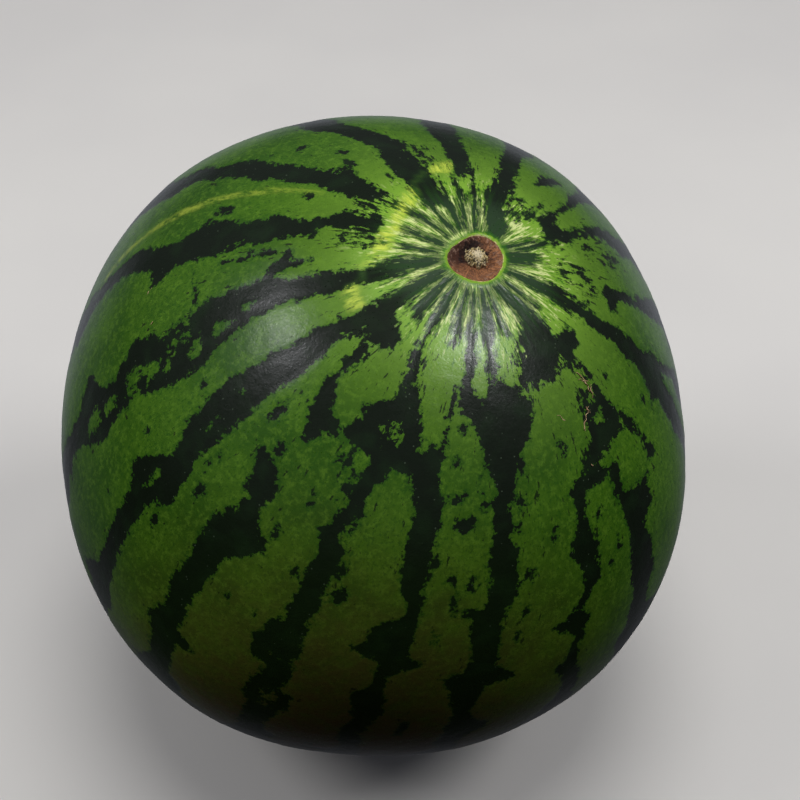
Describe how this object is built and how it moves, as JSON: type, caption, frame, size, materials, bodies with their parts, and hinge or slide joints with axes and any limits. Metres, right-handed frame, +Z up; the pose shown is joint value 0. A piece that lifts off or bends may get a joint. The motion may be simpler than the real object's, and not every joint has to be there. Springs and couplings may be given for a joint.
{
  "type": "watermelon",
  "caption": "Whole round striped watermelon, resting blossom end up on a small flat spot, with a corky blossom scar and a short cut stem stump at the hidden end.",
  "frame": {"origin": "on the surface the fruit rests on, under the middle of its box", "axes": "+Z up, -Y towards the side that the picture shows, +X to the right seen from there; the fruit's own axis leans 25.4 degrees from +Z, with its blossom end towards +X and -Y"},
  "size_m": [0.2442, 0.2522, 0.2561],
  "materials": {
    "rind": "waxy satin rind, near-black green jagged stripes on mid green, paler streaks round the blossom scar"
  },
  "bodies": {
    "root": {"watermelon": "rind"}
  },
  "joints": []
}
